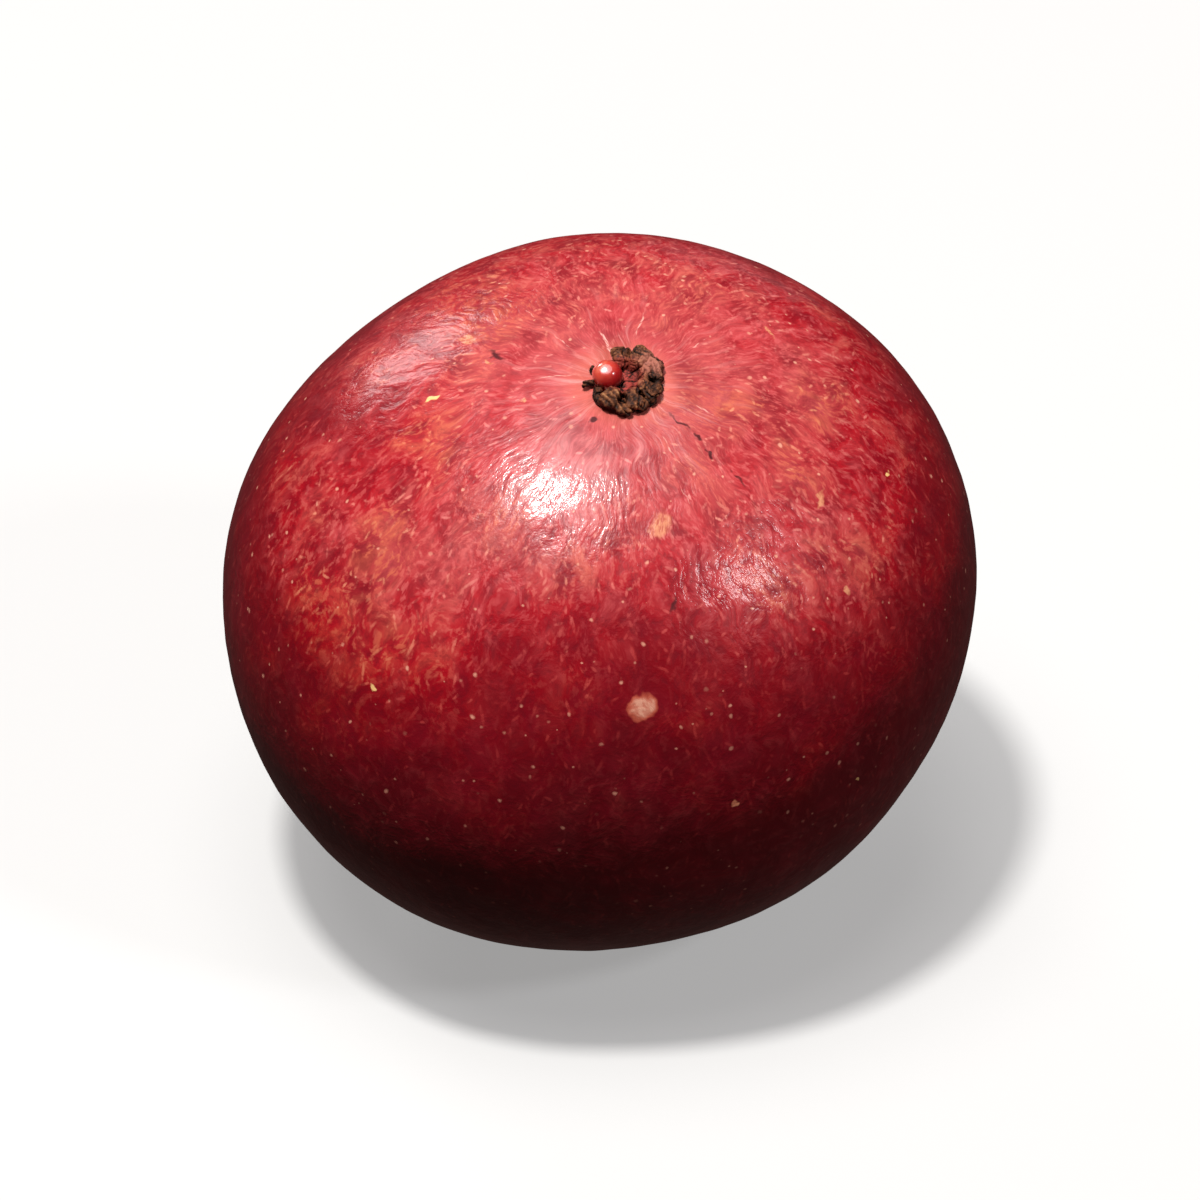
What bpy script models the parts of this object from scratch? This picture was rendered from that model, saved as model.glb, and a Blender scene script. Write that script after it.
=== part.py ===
"""Coffee plum: one whole ripe fruit lying on its small flat spot, with its dried styles on top.

Metres, +Z up. The origin is on the surface that the fruit rests on, under the middle of the fruit.
The fruit is first made in its own frame, with its middle at the origin and its crown on +Z. The
empty "fruit_axis" then leans that frame towards -Y, where the fruit is looked at from.
"""

import math
import random

import bmesh
import bpy
from mathutils import Matrix, Vector, noise

# Driving sizes of the whole fruit
FRUIT_WIDTH = 0.0240
FRUIT_HEIGHT = 0.0209
LEAN_FORWARD = math.radians(16.0)
LEAN_SIDEWAYS = math.radians(4.0)
FLAT_SPOT_DEPTH = 0.00030

# How the outside departs from a plain flattened ball: its right shoulder is fuller at the back,
# and its left one slighter
LOPSIDED_SHARE = 0.055
SHOULDER_ANGLE = math.radians(40.0)
SHOULDER = Vector((0.0, math.cos(SHOULDER_ANGLE), math.sin(SHOULDER_ANGLE)))
LOBE_COUNT = 5
LOBE_SHARE = 0.005
LOBE_TURN = math.radians(25.0)
UNEVEN_HEIGHT = 0.00013
UNEVEN_SCALE = 1.4
UNEVEN_OFFSET = Vector((3.1, 7.4, 1.9))
CROWN_DIP_DEPTH = 0.00018
CROWN_DIP_RADIUS = 0.0020
STALK_BASIN_DEPTH = 0.00075
STALK_BASIN_RADIUS = 0.0020

# The stalk scar, measured from the fruit's axis and from the floor of the basin
SCAR_FOOT_RADIUS = 0.00155
SCAR_CREST_RADIUS = 0.00118
SCAR_CREST_HEIGHT = 0.00022
SCAR_PIT_RADIUS = 0.00086
SCAR_PIT_DEPTH = 0.00055
SCAR_FLOOR_RADIUS = 0.00055
SCAR_TEETH = 9
SCAR_TEETH_SHARE = 0.45
SCAR_RAGGED_SHARE = 0.09

# Touching pieces keep this gap. The crown is only 2.5 mm wide, so a wider one would show.
TOUCH_GAP = 0.0001

# The dried styles, measured from the skin at the pole of the crown
COLUMN_RADIUS = 0.00070
COLUMN_TOP = -0.00016
COLUMN_DEPTH = 0.00070
COLUMN_SIDES = 20
STYLE_PLACES = 7
STYLE_FIRST_ANGLE = math.radians(-112.0)
STYLE_STEP = math.radians(42.0)
STYLE_ANGLE_JITTER = math.radians(4.0)
STYLE_ROOT_OUT = 0.00038
STYLE_ROOT_HEIGHT = -0.00034
STYLE_REACH = 0.00128
STYLE_ARCH_HEIGHT = 0.00036
STYLE_ARCH_SHARE = 0.3
STYLE_TIP_HEIGHT = 0.00030
STYLE_ROOT_RADIUS = 0.00020
STYLE_TIP_HALF_WIDTH = 0.00033
STYLE_TIP_HALF_THICKNESS = 0.00018
STYLE_TIP_BLUNTNESS = 0.62
STYLE_SIZE_JITTER = 0.10
STYLE_NOTCH = 0.42
STYLE_SIDES = 10
STYLE_STATIONS = 8
LARGEST_STYLE = 4
LARGEST_STYLE_SIZE = 1.25
STYLE_SEED = 11

# The red bead
BEAD_RADIUS = 0.00048
BEAD_FLATTENING = 0.92
BEAD_OFFSET = 0.00046
BEAD_ANGLE = math.radians(170.0)

# How finely the round shapes are divided
FRUIT_SEGMENTS = 80
FRUIT_RINGS = 44
RING_CROWDING = 0.4
BEAD_SEGMENTS = 20
BEAD_RINGS = 12
SHARP_ANGLE = math.radians(35.0)


def clear_scene():
    for obj in list(bpy.data.objects):
        bpy.data.objects.remove(obj, do_unlink=True)


def material(name, colour, roughness):
    made = bpy.data.materials.new(name)
    made.use_nodes = True
    shader = made.node_tree.nodes["Principled BSDF"]
    shader.inputs["Base Color"].default_value = (*colour, 1.0)
    shader.inputs["Roughness"].default_value = roughness
    shader.inputs["Metallic"].default_value = 0.0
    return made


def skin_material():
    return material("ripe_skin", (0.42, 0.03, 0.04), 0.35)


def dried_style_material():
    return material("dried_style", (0.13, 0.06, 0.025), 0.85)


def bead_material():
    return material("red_bead", (0.50, 0.05, 0.03), 0.12)


def bump(distance, radius):
    """A smooth dip or rise that is 1 at its middle and fades out past the radius."""
    return math.exp(-((distance / radius) ** 2))


def fullness(direction):
    """How much fuller or slighter than the plain flattened ball the fruit is this way."""
    return 1.0 + LOPSIDED_SHARE * direction.x * direction.dot(SHOULDER)


def skin_point(polar, azimuth):
    """A point of the skin, by its angle from the crown and its angle round the axis."""
    across = math.sin(polar)
    along = math.cos(polar)
    direction = Vector((across * math.cos(azimuth), across * math.sin(azimuth), along))
    lobes = LOBE_SHARE * across**2 * math.cos(LOBE_COUNT * (azimuth - LOBE_TURN))
    uneven = UNEVEN_HEIGHT * noise.noise(direction * UNEVEN_SCALE + UNEVEN_OFFSET)
    half_width = FRUIT_WIDTH / 2 * (fullness(direction) + lobes) + uneven
    half_height = FRUIT_HEIGHT / 2 * fullness(direction) + uneven
    from_axis = half_width * across
    if along > 0:
        dip = CROWN_DIP_DEPTH * bump(from_axis, CROWN_DIP_RADIUS)
    else:
        dip = -STALK_BASIN_DEPTH * bump(from_axis, STALK_BASIN_RADIUS)
    return Vector(
        (half_width * direction.x, half_width * direction.y, half_height * along - dip)
    )


def ring_angles(count):
    return [2.0 * math.pi * i / count for i in range(count)]


def polar_at_radius(radius):
    """The angle from the pole at which the skin is this far from the axis."""
    return math.asin(radius / (FRUIT_WIDTH / 2))


def level_ring(radius, height):
    """A true circle of points round the fruit's axis."""
    return [
        Vector((radius * math.cos(angle), radius * math.sin(angle), height))
        for angle in ring_angles(FRUIT_SEGMENTS)
    ]


def pole_height(end):
    """The height of the skin at the crown's pole (end 1) or the stalk's pole (end -1)."""
    return skin_point(0.0 if end > 0 else math.pi, 0.0).z


def socket_rings():
    """The plain round hole in the crown's pole that the column of the styles stands in."""
    radius = COLUMN_RADIUS + TOUCH_GAP
    floor_height = pole_height(1) - COLUMN_DEPTH - TOUCH_GAP
    return [level_ring(radius, floor_height)]


def skin_rings():
    """Rings of the skin from the socket to the scar, closer together near both."""
    first = polar_at_radius(COLUMN_RADIUS + TOUCH_GAP)
    last = math.pi - polar_at_radius(SCAR_FOOT_RADIUS)
    rings = []
    for i in range(FRUIT_RINGS + 1):
        share = i / FRUIT_RINGS
        share -= RING_CROWDING * math.sin(2.0 * math.pi * share) / (2.0 * math.pi)
        polar = first + (last - first) * share
        rings.append([skin_point(polar, a) for a in ring_angles(FRUIT_SEGMENTS)])
    return rings


def tooth(azimuth):
    """How far the torn rim stands up here, from about half to one and a half."""
    wave = math.sin(SCAR_TEETH * azimuth) + math.sin((2 * SCAR_TEETH + 1) * azimuth)
    return 1.0 + SCAR_TEETH_SHARE * wave / 2.0


def ragged(azimuth):
    """How far the torn rim wanders from a true circle here, close to one."""
    return 1.0 + SCAR_RAGGED_SHARE * math.sin((SCAR_TEETH - 2) * azimuth + 1.0)


def scar_rings():
    """The torn rim, the wall and the floor of the stalk scar, from the outside in."""
    base = pole_height(-1)
    crest = []
    lip = []
    floor = []
    for azimuth in ring_angles(FRUIT_SEGMENTS):
        around = Vector((math.cos(azimuth), math.sin(azimuth), 0.0))
        crest_height = base - SCAR_CREST_HEIGHT * tooth(azimuth)
        crest.append(around * SCAR_CREST_RADIUS * ragged(azimuth) + Vector((0, 0, crest_height)))
        lip.append(around * SCAR_PIT_RADIUS * ragged(azimuth) + Vector((0, 0, base)))
        floor.append(around * SCAR_FLOOR_RADIUS + Vector((0, 0, base + SCAR_PIT_DEPTH)))
    return [crest, lip, floor]


def skin_over_rings(bm, rings):
    """Faces between each ring and the next, and a fan of triangles over each end."""
    loops = [[bm.verts.new(point) for point in ring] for ring in rings]
    for upper, lower in zip(loops, loops[1:]):
        for i in range(len(upper)):
            j = (i + 1) % len(upper)
            bm.faces.new((upper[i], lower[i], lower[j], upper[j]))
    for loop in (loops[0], loops[-1]):
        middle = sum((v.co for v in loop), Vector()) / len(loop)
        centre = bm.verts.new(middle)
        for i in range(len(loop)):
            bm.faces.new((centre, loop[i], loop[(i + 1) % len(loop)]))
    bmesh.ops.recalc_face_normals(bm, faces=bm.faces)


def fruit_lean():
    return Matrix.Rotation(LEAN_SIDEWAYS, 3, "Y") @ Matrix.Rotation(LEAN_FORWARD, 3, "X")


def flatten_underside(bm):
    """Cut the lowest part of the leaning fruit away in one level plane."""
    down = fruit_lean().inverted() @ Vector((0.0, 0.0, -1.0))
    reach = max(v.co.dot(down) for v in bm.verts)
    bmesh.ops.bisect_plane(
        bm,
        geom=bm.verts[:] + bm.edges[:] + bm.faces[:],
        plane_co=down * (reach - FLAT_SPOT_DEPTH),
        plane_no=down,
        clear_outer=True,
    )
    bmesh.ops.holes_fill(bm, edges=[e for e in bm.edges if e.is_boundary])


def new_object(name, bm, finish):
    mesh = bpy.data.meshes.new(name)
    bm.to_mesh(mesh)
    bm.free()
    mesh.materials.append(finish)
    mesh.shade_smooth()
    mesh.set_sharp_from_angle(angle=SHARP_ANGLE)
    obj = bpy.data.objects.new(name, mesh)
    bpy.context.scene.collection.objects.link(obj)
    return obj


def make_fruit():
    bm = bmesh.new()
    skin_over_rings(bm, socket_rings() + skin_rings() + scar_rings())
    flatten_underside(bm)
    return new_object("fruit", bm, skin_material())


def make_column():
    """The short column that joins the styles and stands in the hole of the crown."""
    bm = bmesh.new()
    bmesh.ops.create_cone(
        bm,
        cap_ends=True,
        segments=COLUMN_SIDES,
        radius1=COLUMN_RADIUS,
        radius2=COLUMN_RADIUS,
        depth=COLUMN_TOP + COLUMN_DEPTH,
        matrix=Matrix.Translation((0.0, 0.0, (COLUMN_TOP - COLUMN_DEPTH) / 2)),
    )
    return new_object("style_crown", bm, dried_style_material())


def style_section(share, size):
    """One cross-section of a style that lies along +X: up from the column, then out over its rim."""
    out = (STYLE_ROOT_OUT + (STYLE_REACH - STYLE_ROOT_OUT) * share) * size
    if share < STYLE_ARCH_SHARE:
        climbed = math.sin(0.5 * math.pi * share / STYLE_ARCH_SHARE)
        height = STYLE_ROOT_HEIGHT + (STYLE_ARCH_HEIGHT - STYLE_ROOT_HEIGHT) * climbed
    else:
        fallen = ((share - STYLE_ARCH_SHARE) / (1.0 - STYLE_ARCH_SHARE)) ** 2
        height = STYLE_ARCH_HEIGHT + (STYLE_TIP_HEIGHT - STYLE_ARCH_HEIGHT) * fallen
    half_width = STYLE_ROOT_RADIUS + (STYLE_TIP_HALF_WIDTH - STYLE_ROOT_RADIUS) * share
    half_thick = STYLE_ROOT_RADIUS + (STYLE_TIP_HALF_THICKNESS - STYLE_ROOT_RADIUS) * share
    blunt = STYLE_TIP_BLUNTNESS if share == 1.0 else 1.0
    points = []
    for angle in ring_angles(STYLE_SIDES):
        notch = 1.0 - STYLE_NOTCH * share**2 * math.sin(angle) ** 6
        side = blunt * half_width * size * math.cos(angle)
        lift = blunt * half_thick * notch * math.sin(angle)
        points.append(Vector((out, side, height + lift)))
    return points


def make_style(index, angle, size):
    bm = bmesh.new()
    last = STYLE_STATIONS - 1
    skin_over_rings(bm, [style_section(i / last, size) for i in range(STYLE_STATIONS)])
    bmesh.ops.rotate(bm, verts=bm.verts, matrix=Matrix.Rotation(angle, 3, "Z"))
    return new_object(f"style_{index}", bm, dried_style_material())


def make_styles():
    """Every place round the crown has a dried style, but for the one that the red bead takes."""
    draw = random.Random(STYLE_SEED)
    styles = []
    for index in range(STYLE_PLACES - 1):
        jitter = draw.uniform(-STYLE_ANGLE_JITTER, STYLE_ANGLE_JITTER)
        angle = STYLE_FIRST_ANGLE + index * STYLE_STEP + jitter
        size = 1.0 + draw.uniform(-STYLE_SIZE_JITTER, STYLE_SIZE_JITTER)
        if index == LARGEST_STYLE:
            size = LARGEST_STYLE_SIZE
        styles.append(make_style(index, angle, size))
    return styles


def join_into(body, pieces):
    """Join the pieces to the body by one Boolean union, apply it and remove them."""
    group = bpy.data.collections.new("to_join")
    bpy.context.scene.collection.children.link(group)
    for piece in pieces:
        group.objects.link(piece)
    union = body.modifiers.new("join", "BOOLEAN")
    union.operation = "UNION"
    union.operand_type = "COLLECTION"
    union.collection = group
    bpy.context.view_layer.update()
    evaluated = body.evaluated_get(bpy.context.evaluated_depsgraph_get())
    joined = bpy.data.meshes.new_from_object(evaluated)
    body.modifiers.remove(union)
    body.data = joined
    for piece in pieces:
        bpy.data.objects.remove(piece, do_unlink=True)
    bpy.data.collections.remove(group)


def make_style_crown():
    crown = make_column()
    join_into(crown, make_styles())
    crown.location = (0.0, 0.0, pole_height(1))
    return crown


def make_style_bead():
    bm = bmesh.new()
    bmesh.ops.create_uvsphere(
        bm, u_segments=BEAD_SEGMENTS, v_segments=BEAD_RINGS, radius=BEAD_RADIUS
    )
    bmesh.ops.scale(bm, verts=bm.verts, vec=(1.0, 1.0, BEAD_FLATTENING))
    bead = new_object("style_bead", bm, bead_material())
    height = COLUMN_TOP + TOUCH_GAP + BEAD_RADIUS * BEAD_FLATTENING
    bead.location = (
        BEAD_OFFSET * math.cos(BEAD_ANGLE),
        BEAD_OFFSET * math.sin(BEAD_ANGLE),
        pole_height(1) + height,
    )
    return bead


def lean_and_set_down(pieces):
    """Lean the pieces as one, and stand them on the surface with the origin under their middle."""
    axis = bpy.data.objects.new("fruit_axis", None)
    bpy.context.scene.collection.objects.link(axis)
    axis.rotation_euler = fruit_lean().to_euler()
    for piece in pieces:
        piece.parent = axis
    bpy.context.view_layer.update()
    points = [piece.matrix_world @ v.co for piece in pieces for v in piece.data.vertices]
    low = Vector([min(p[i] for p in points) for i in range(3)])
    high = Vector([max(p[i] for p in points) for i in range(3)])
    axis.location = (-(low.x + high.x) / 2, -(low.y + high.y) / 2, -low.z)


def main():
    clear_scene()
    pieces = [make_fruit(), make_style_crown(), make_style_bead()]
    lean_and_set_down(pieces)


main()
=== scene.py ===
"""Looks of the coffee plum: its skin, its dried styles, its red bead and its stalk scar.

Metres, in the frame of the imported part: +Z up, and the fruit looked at along +Y. As in the part,
the fruit is first made in its own frame, with its middle at the origin and its crown on +Z, and
then leaned towards -Y and set down. Its materials work in that own frame too, in millimetres.
"""

import math
import random

import bmesh
import bpy
import numpy as np
from mathutils import Matrix, Vector, noise


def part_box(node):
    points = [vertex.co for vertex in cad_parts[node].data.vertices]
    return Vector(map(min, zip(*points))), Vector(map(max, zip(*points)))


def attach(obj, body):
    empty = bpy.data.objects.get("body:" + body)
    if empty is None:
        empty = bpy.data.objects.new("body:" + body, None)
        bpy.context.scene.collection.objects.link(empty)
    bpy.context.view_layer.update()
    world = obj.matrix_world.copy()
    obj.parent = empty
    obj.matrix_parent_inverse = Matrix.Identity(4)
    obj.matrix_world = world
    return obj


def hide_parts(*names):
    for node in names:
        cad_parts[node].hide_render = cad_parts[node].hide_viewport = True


MM = 0.001

# Driving sizes of the fruit, as in the part
FRUIT_WIDTH = 24.0 * MM
FRUIT_HEIGHT = 20.9 * MM
LEAN_FORWARD = math.radians(16.0)
LEAN_SIDEWAYS = math.radians(4.0)
LOPSIDED_SHARE = 0.055
SHOULDER_ANGLE = math.radians(40.0)
LOBE_COUNT = 5
LOBE_SHARE = 0.005
LOBE_TURN = math.radians(25.0)
UNEVEN_HEIGHT = 0.13 * MM
UNEVEN_SCALE = 1.4
UNEVEN_OFFSET = Vector((3.1, 7.4, 1.9))
CROWN_DIP_DEPTH = 0.18 * MM
CROWN_DIP_RADIUS = 2.0 * MM
STALK_BASIN_DEPTH = 0.75 * MM
STALK_BASIN_RADIUS = 2.0 * MM

# The stalk scar, as in the part
SCAR_FOOT_RADIUS = 1.55 * MM
SCAR_CREST_RADIUS = 1.18 * MM
SCAR_CREST_HEIGHT = 0.22 * MM
SCAR_PIT_RADIUS = 0.86 * MM
SCAR_PIT_DEPTH = 0.55 * MM
SCAR_FLOOR_RADIUS = 0.55 * MM
SCAR_TEETH = 9
SCAR_TEETH_SHARE = 0.45
SCAR_RAGGED_SHARE = 0.09
SCAR_MIDDLE_RADIUS = 0.004 * MM
SCAR_CRUMBS = ((3.2 / MM, 0.05 * MM), (9.0 / MM, 0.03 * MM))
SCAR_FADE_RINGS = 8.0

# The fine relief of the skin: swells of a fineness and a height, and creases at the crown
SWELLS = ((5.5, 0.03 * MM), (19.0, 0.012 * MM))
CREASE_WAVES = (13, 19, 29)
CREASE_DEPTH = 0.018 * MM
CREASE_REACH = 2.6 * MM
CREASE_SEED = 5
UNDERSIDE_SOFTNESS = 0.04 * MM
UNDERSIDE_HEIGHT = 1.0 * MM

# The pale round spot, at a pixel of the photograph, with its radii in millimetres
LENTICEL_PIXEL = (591, 503)
LENTICEL_RADIUS = 0.5
LENTICEL_REACH = 0.42
LENTICEL_HEIGHT = 0.03 * MM

# The fine mesh of the skin
SKIN_SEGMENTS = 384
SKIN_RINGS = 196
SCAR_RINGS = 52
POLE_CROWDING = 2.2
POLE_SPREAD = 0.35
POLE_GAP = 0.004
RING_SAMPLES = 4000
BAKE_MARGIN = 0.996

# The dried styles round the crown, as in the part
STYLE_PLACES = 7
STYLE_FIRST_ANGLE = math.radians(-112.0)
STYLE_STEP = math.radians(42.0)
STYLE_ANGLE_JITTER = math.radians(4.0)
STYLE_ROOT_OUT = 0.38 * MM
STYLE_ROOT_HEIGHT = -0.34 * MM
STYLE_REACH = 1.28 * MM
STYLE_ARCH_HEIGHT = 0.36 * MM
STYLE_ARCH_SHARE = 0.3
STYLE_TIP_HEIGHT = 0.3 * MM
STYLE_ROOT_RADIUS = 0.2 * MM
STYLE_TIP_HALF_WIDTH = 0.33 * MM
STYLE_TIP_HALF_THICK = 0.18 * MM
STYLE_SIZE_JITTER = 0.1
STYLE_NOTCH = 0.42
BLUNT_FROM = 0.8
BLUNT_LENGTH = 0.2
BLUNT_SHARE = 0.9
LARGEST_STYLE = 4
LARGEST_STYLE_SIZE = 1.1
STYLE_SEED = 11
STYLE_STATIONS = 14
STYLE_SIDES = 20

# The cushion under the styles and the crumbs round them: place above the skin and half sizes in
# millimetres, and the crumb's turn in degrees
CUSHION_PLACE = (0.1, 0.0, -0.2)
CUSHION_SIZES = (0.78, 0.78, 0.34)
CUSHION_SEED = 3.0
LUMP_UNEVEN = 0.35
LUMP_UNEVEN_SCALE = 1.7
CRUMBS = [
    ((-1.04, -0.2, 0.12), (0.24, 0.13, 0.15), 25.0),
    ((-0.86, 0.36, 0.1), (0.18, 0.13, 0.16), -50.0),
    ((-0.76, -0.5, 0.08), (0.24, 0.17, 0.16), 75.0),
    ((-0.66, -0.86, 0.12), (0.26, 0.13, 0.15), -45.0),
    ((-0.4, -0.98, 0.18), (0.3, 0.11, 0.15), -48.0),
    ((-0.14, -1.14, 0.18), (0.32, 0.11, 0.15), -50.0),
    ((0.12, -1.16, 0.16), (0.32, 0.11, 0.15), -52.0),
    ((0.36, -1.0, 0.1), (0.26, 0.22, 0.16), 10.0),
    ((0.62, -0.98, 0.16), (0.24, 0.2, 0.18), 50.0),
    ((0.88, -0.78, 0.14), (0.24, 0.18, 0.18), 30.0),
    ((1.06, -0.1, 0.1), (0.2, 0.32, 0.2), 10.0),
    ((0.94, 0.46, 0.2), (0.36, 0.46, 0.3), -20.0),
    ((1.12, 0.26, 0.14), (0.18, 0.28, 0.2), -5.0),
    ((0.44, 0.62, 0.14), (0.26, 0.26, 0.2), 10.0),
    ((0.3, -0.78, 0.02), (0.36, 0.26, 0.18), 0.0),
    ((0.02, 0.94, 0.16), (0.28, 0.3, 0.26), 10.0),
]
# The largest lobe has ridges round a point, and the front lobes are strands laid side by side
LOBE_PLACE = Vector((0.94, 0.5, 0.0))
LOBE_RADIUS = 0.5
LOBE_RIDGES_ROUND = Vector((0.42, 0.12, 0.0))
RIDGE_SPACING = 0.19
STRANDS_PLACE = Vector((-0.18, -1.02, 0.0))
STRANDS_RADIUS = 0.62
STRANDS_ACROSS = Vector((0.74, 0.67, 0.0))
STRAND_SPACING = 0.19
RIB_WANDER = 0.05
CROWN_VOXEL = 0.024
SMALLEST_BODY = 200

# Forms of the crust: how far each pushes it, in millimetres, and how much paler it makes it
# Raised lumps, grit and ribs are paler, partly the crust's own colour and partly painted light;
# creases are darker with painted shade.
LUMP_PUSH, LUMP_PALE = 0.06, 0.3
CREASE_PUSH, CREASE_SHADE = 0.07, 0.42
FINE_PUSH, FINE_CREASE_SHADE = 0.03, 0.22
GRIT_PUSH, GRIT_PALE = 0.012, 0.25
RIB_PUSH, RIB_PALE = 0.022, 0.15
CREASES_ON_RIBS = 0.3
CRUST_PALE = 0.26
# The upper parts of the crust, and most of all those of its largest lobe, are paler with painted
# light from above.
LIFT_LIGHT = 0.4
LOBE_LIFT_LIGHT = 0.16
LIFT_FROM = -0.16
LIFT_HEIGHT = 0.75

# The red bead among the styles, as in the part
COLUMN_TOP = -0.16 * MM
BEAD_RADIUS = 0.48 * MM
BEAD_FLATTENING = 0.92
BEAD_OFFSET = 0.46 * MM
BEAD_ANGLE = math.radians(170.0)
BEAD_FACET_FROM = 0.9
BEAD_FACET_SHARE = 0.6
BEAD_UNEVEN = 0.05
BEAD_UNEVEN_SCALE = 1.1
BEAD_SEGMENTS = 64
BEAD_RINGS = 40

# Noises of the skin's broad colours: fineness per millimetre and number of layers
LAYER_STRENGTH = 0.6
CLOUDS = (0.45, 3)
DRIFT = (0.12, 2)
BLOTCHES = (0.85, 3)
PATCHES = (1.5, 2)
TONE_BY_CLOUDS = 0.17
TONE_BY_DRIFT = 0.1
BLOTCH_FROM = 0.05
BLOTCH_SPAN = 0.45
BEND_PER_MM = 1.1
BEND_REACH = 0.3
BEND_SEED = 3

# Broad paler and darker places: pixel of the photograph, radius in millimetres, change
PALE_PLACES = [
    ((494, 449), 5.5, 0.28),
    ((446, 440), 4.5, 0.13),
    ((505, 398), 4.5, -0.16),
    ((583, 386), 4.5, 0.12),
    ((648, 366), 4.5, 0.14),
    ((666, 428), 5.0, 0.12),
    # These two darker places low on the front are partly the skin's own colour and partly painted
    # shade.
    ((585, 500), 6.5, -0.16),
    ((540, 560), 7.0, -0.08),
]
ORANGE_PLACES = [
    ((474, 474), 5.5),
    ((500, 425), 4.5),
    ((520, 350), 3.5),
    ((655, 395), 4.5),
]
MEAN_RADIUS = 11.4
# Places whose noise is drawn out along the meridians: radius of true width, share of height kept
MERIDIAN_PLACES = {
    "streak_place": (6.5, 0.32),
    "felt_place": (8.0, 0.7),
    "ray_place": (2.2, 0.07),
}
AXIS_GAP = 0.05

# The camera looks at the fruit as the photograph does
PHOTO_CENTRE = (574.0, 457.5)
PHOTO_HALF_WIDTH = 146.0
PHOTO_ROUNDS = 4
CAMERA_ELEVATION = math.radians(35.5)
CAMERA_DISTANCE = 230.0 * MM
CAMERA_LENS = 216.0
SENSOR_WIDTH = 36.0
CAMERA_NEAR = 0.005
CAMERA_FAR = 5.0
AIM_BELOW_MIDDLE = 0.6 * MM

# Lights: direction in the photograph's view, distance, width in degrees, strength and colour
WARM, NEUTRAL, COOL = (1.0, 0.985, 0.96), (1.0, 1.0, 1.0), (0.96, 0.98, 1.0)
KEY_LIGHT_WAY = (-0.18, 0.7, 0.69)
LIGHTS = {
    "key": (KEY_LIGHT_WAY, 0.6, 7.0, 1.08, WARM),
    "key_veil": ((-0.14, 0.78, 0.61), 0.58, 42.0, 0.48, NEUTRAL),
    "side": ((0.67, 0.28, 0.69), 0.5, 9.0, 0.22, COOL),
    "rim_left": ((-0.49, 0.77, -0.41), 0.5, 17.0, 0.155, NEUTRAL),
    "rim_right": ((0.2, 0.56, -0.8), 0.5, 18.0, 0.006, NEUTRAL),
}
WORLD_COLOUR = (1.0, 0.55, 0.5, 1.0)
WORLD_STRENGTH = 0.055

# The floor, in metres
FLOOR_RADIUS = 0.3
FLOOR_BEND = 0.35
FLOOR_STEPS = 16
FLOOR_WALL_TOP = 0.9
FLOOR_SEGMENTS = 96

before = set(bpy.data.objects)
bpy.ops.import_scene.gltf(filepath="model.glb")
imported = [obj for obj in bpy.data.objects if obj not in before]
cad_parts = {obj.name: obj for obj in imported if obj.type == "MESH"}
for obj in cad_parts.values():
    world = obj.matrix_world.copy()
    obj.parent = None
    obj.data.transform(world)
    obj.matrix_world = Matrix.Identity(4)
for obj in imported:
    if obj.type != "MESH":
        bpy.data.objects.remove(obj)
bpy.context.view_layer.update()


def fruit_lean():
    return Matrix.Rotation(LEAN_SIDEWAYS, 3, "Y") @ Matrix.Rotation(LEAN_FORWARD, 3, "X")


def camera_axes():
    """The camera's right, up and backward directions."""
    right = Vector((1.0, 0.0, 0.0))
    back = Vector((0.0, -math.cos(CAMERA_ELEVATION), math.sin(CAMERA_ELEVATION)))
    return right, back.cross(right), back


def bump(distance, radius):
    return np.exp(-((distance / radius) ** 2))


def noise_over(points, scale, offset=Vector()):
    """Smooth noise from -1 to 1 at each of an array of points."""
    flat = points.reshape(-1, 3)
    values = [noise.noise(Vector(p) * scale + offset) for p in flat]
    return np.array(values).reshape(points.shape[:-1])


def noises_over(points, layers):
    """The sum of smooth noises, each of its own fineness and height."""
    return sum(height * noise_over(points, scale) for scale, height in layers)


def plain_skin(polar, azimuth):
    """The skin without its fine relief, and which way each point lies from the middle."""
    across = np.sin(polar)
    along = np.cos(polar) + 0.0 * azimuth
    way = np.stack([across * np.cos(azimuth), across * np.sin(azimuth), along], axis=-1)
    shoulder = way[..., 1] * math.cos(SHOULDER_ANGLE) + way[..., 2] * math.sin(SHOULDER_ANGLE)
    fullness = 1.0 + LOPSIDED_SHARE * way[..., 0] * shoulder
    lobes = LOBE_SHARE * across**2 * np.cos(LOBE_COUNT * (azimuth - LOBE_TURN))
    uneven = UNEVEN_HEIGHT * noise_over(way, UNEVEN_SCALE, UNEVEN_OFFSET)
    half_width = FRUIT_WIDTH / 2 * (fullness + lobes) + uneven
    half_height = FRUIT_HEIGHT / 2 * fullness + uneven
    from_axis = half_width * across
    crown_dip = CROWN_DIP_DEPTH * bump(from_axis, CROWN_DIP_RADIUS)
    stalk_dip = -STALK_BASIN_DEPTH * bump(from_axis, STALK_BASIN_RADIUS)
    height = half_height * along - np.where(along > 0, crown_dip, stalk_dip)
    skin = np.stack([half_width * way[..., 0], half_width * way[..., 1], height], axis=-1)
    return skin, way


def ring_polars():
    """Angles of the skin's rings from the crown to the scar, closer together near both ends."""
    last = math.pi - math.asin(SCAR_FOOT_RADIUS / (FRUIT_WIDTH / 2))
    fine = np.linspace(POLE_GAP, last, RING_SAMPLES)
    density = 1.0 + POLE_CROWDING * (bump(fine, POLE_SPREAD) + bump(last - fine, POLE_SPREAD))
    travelled = np.concatenate([[0.0], np.cumsum((density[1:] + density[:-1]) / 2)])
    return np.interp(np.linspace(0.0, travelled[-1], SKIN_RINGS), travelled, fine)


def outward(skin):
    """The direction out of the flattened ball at each point of it."""
    half = np.array([FRUIT_WIDTH / 2, FRUIT_WIDTH / 2, FRUIT_HEIGHT / 2])
    normal = skin / half**2
    return normal / np.linalg.norm(normal, axis=-1, keepdims=True)


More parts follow.
